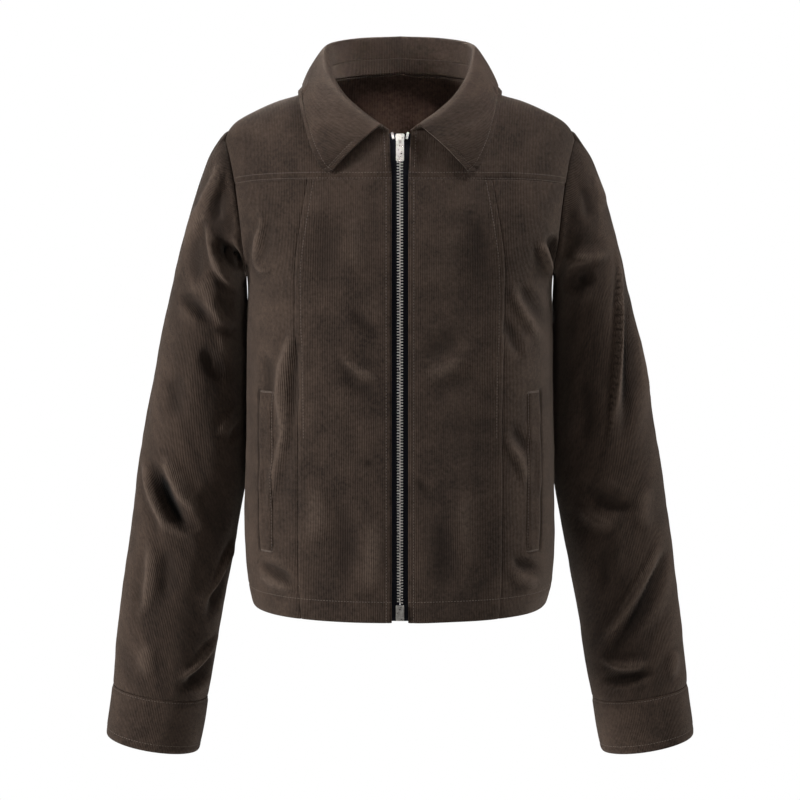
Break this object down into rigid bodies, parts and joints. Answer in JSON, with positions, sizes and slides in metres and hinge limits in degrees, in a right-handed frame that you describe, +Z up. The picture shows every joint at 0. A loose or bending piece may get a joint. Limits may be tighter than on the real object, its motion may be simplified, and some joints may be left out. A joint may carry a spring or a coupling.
{
  "type": "corduroy zip jacket",
  "caption": "Cropped fine-wale corduroy jacket, hollow and filled out, with pointed collar, yoke, slit pockets, cuffs and a metal front zip whose pull tab swings.",
  "frame": {"origin": "middle of the neck, level with the neck seam's side points on the shoulders, where the wearer's shoulders carry the jacket", "axes": "+Z up, the jacket's front faces -Y, +X is the viewer's right seen from the front"},
  "size_m": [0.6332, 0.2475, 0.7627],
  "materials": {
    "corduroy": "dark brown cotton corduroy, fine wales, soft nap",
    "zip_tape": "blue-black woven zip tape",
    "zip_metal": "antique nickel zip metal"
  },
  "bodies": {
    "jacket": {"front-yoke-right": "corduroy", "front-yoke-left": "corduroy", "centre-front-right": "corduroy", "centre-front-left": "corduroy", "side-front-right": "corduroy", "side-front-left": "corduroy", "pocket-welt-right": "corduroy", "pocket-welt-left": "corduroy", "back": "corduroy", "collar-stand": "corduroy", "collar": "corduroy", "sleeve-right": "corduroy", "sleeve-left": "corduroy", "cuff-right": "corduroy", "cuff-left": "corduroy", "zip-tape-right": "zip_tape", "zip-tape-left": "zip_tape", "zip-chain": "zip_metal", "zip-slider": "zip_metal", "zip-stop-right": "zip_metal", "zip-stop-left": "zip_metal", "zip-box": "zip_metal"},
    "pull": {"zip-pull": "zip_metal"}
  },
  "joints": [
    {"name": "pull_swing", "type": "hinge", "parent": "jacket", "child": "pull", "pos_m": [0, -0.09884, -0.06456], "axis": [-1, 0, 0], "range_deg": [0, 150]}
  ]
}
